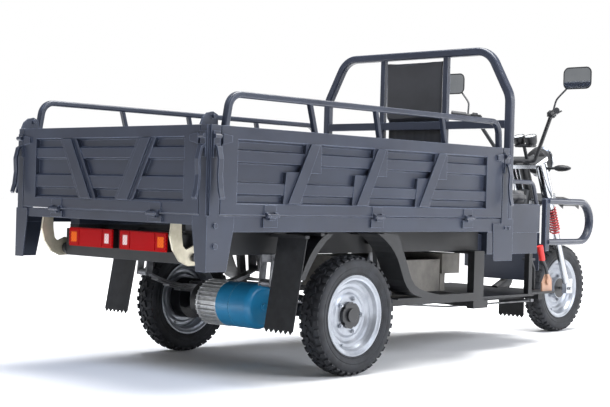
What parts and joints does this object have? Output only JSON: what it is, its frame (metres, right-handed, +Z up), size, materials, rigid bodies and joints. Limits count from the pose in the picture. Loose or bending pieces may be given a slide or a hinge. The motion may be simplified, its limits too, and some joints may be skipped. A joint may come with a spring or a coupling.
{
  "type": "electric cargo tricycle",
  "caption": "Electric cargo tricycle with a tipping bed, drop sides with guard rails, a tailgate, a roll hoop and a raked front fork.",
  "frame": {"origin": "on the ground, at the middle of the bounding box's footprint", "axes": "+Y towards the front wheel, +X to the vehicle's right, +Z up"},
  "size_m": [1.326, 3.72, 1.533],
  "materials": {
    "dark_paint": "satin",
    "black_paint": "satin",
    "rubber": "matte",
    "tyre": "matte",
    "rim_paint": "satin",
    "zinc": "satin",
    "aluminium": "satin",
    "blue_paint": "gloss",
    "red_plastic": "gloss",
    "red_paint": "gloss",
    "vinyl": "satin",
    "black_plastic": "matte",
    "case_plastic": "matte",
    "chrome": "gloss",
    "orange_plastic": "gloss",
    "steel": "satin"
  },
  "bodies": {
    "chassis": {"chassis_rails": "black_paint", "cross_members": "black_paint", "lower_frame": "black_paint", "front_frame": "dark_paint", "footboard": "dark_paint", "leg_guards": "dark_paint", "rear_beam": "black_paint", "tail_lamps": "red_plastic", "rear_axle": "black_paint", "motor_body": "aluminium", "motor_cap": "blue_paint", "leaf_springs": "steel", "spring_fittings": "steel", "rear_fenders": "dark_paint", "mud_flaps": "rubber", "battery_pack": "case_plastic", "seat_box": "dark_paint", "seat_cushion": "vinyl", "hand_controls": "steel", "brake_lines": "steel"},
    "bed": {"bed_floor": "dark_paint", "bed_beams": "dark_paint", "bed_cross_beams": "dark_paint", "bed_sills": "dark_paint", "rear_posts": "dark_paint", "front_posts": "dark_paint", "bulkhead": "dark_paint", "roll_hoop": "dark_paint", "backrest": "vinyl", "tipping_hinges": "zinc", "toggle_levers": "dark_paint"},
    "tailgate": {"tailgate": "dark_paint"},
    "side_right": {"side_panel_right": "dark_paint", "guard_rail_right": "dark_paint"},
    "side_left": {"side_panel_left": "dark_paint", "guard_rail_left": "dark_paint"},
    "steering": {"fork": "chrome", "fork_springs": "red_paint", "front_fender": "black_plastic", "handlebar": "black_paint", "headlight": "chrome", "gauges": "black_plastic", "turn_signals": "black_plastic", "mirrors": "black_plastic"},
    "front_wheel": {"front_tyre": "tyre", "front_rim": "rim_paint"},
    "rear_wheel_right": {"rear_tyre_right": "tyre", "rear_rim_right": "rim_paint"},
    "rear_wheel_left": {"rear_tyre_left": "tyre", "rear_rim_left": "rim_paint"}
  },
  "joints": [
    {"name": "bed_tip", "type": "hinge", "parent": "chassis", "child": "bed", "pos_m": [0, -1.696, 0.515], "axis": [1, 0, 0], "range_deg": [0, 45]},
    {"name": "tailgate_drop", "type": "hinge", "parent": "bed", "child": "tailgate", "pos_m": [0, -1.829, 0.686], "axis": [1, 0, 0], "range_deg": [0, 170]},
    {"name": "side_right_drop", "type": "hinge", "parent": "bed", "child": "side_right", "pos_m": [0.632, -0.896, 0.686], "axis": [0, 1, 0], "range_deg": [0, 170]},
    {"name": "side_left_drop", "type": "hinge", "parent": "bed", "child": "side_left", "pos_m": [-0.632, -0.896, 0.686], "axis": [0, -1, 0], "range_deg": [0, 170]},
    {"name": "steer", "type": "hinge", "parent": "chassis", "child": "steering", "pos_m": [0, 1.56346, 0.24373], "axis": [0, -0.4067, 0.9135], "range_deg": [-38, 38]},
    {"name": "front_wheel_spin", "type": "hinge", "parent": "steering", "child": "front_wheel", "pos_m": [0, 1.6, 0.26], "axis": [1, 0, 0], "continuous": true},
    {"name": "rear_wheel_right_spin", "type": "hinge", "parent": "chassis", "child": "rear_wheel_right", "pos_m": [0.53, -0.896, 0.26], "axis": [1, 0, 0], "continuous": true},
    {"name": "rear_wheel_left_spin", "type": "hinge", "parent": "chassis", "child": "rear_wheel_left", "pos_m": [-0.53, -0.896, 0.26], "axis": [1, 0, 0], "continuous": true}
  ]
}
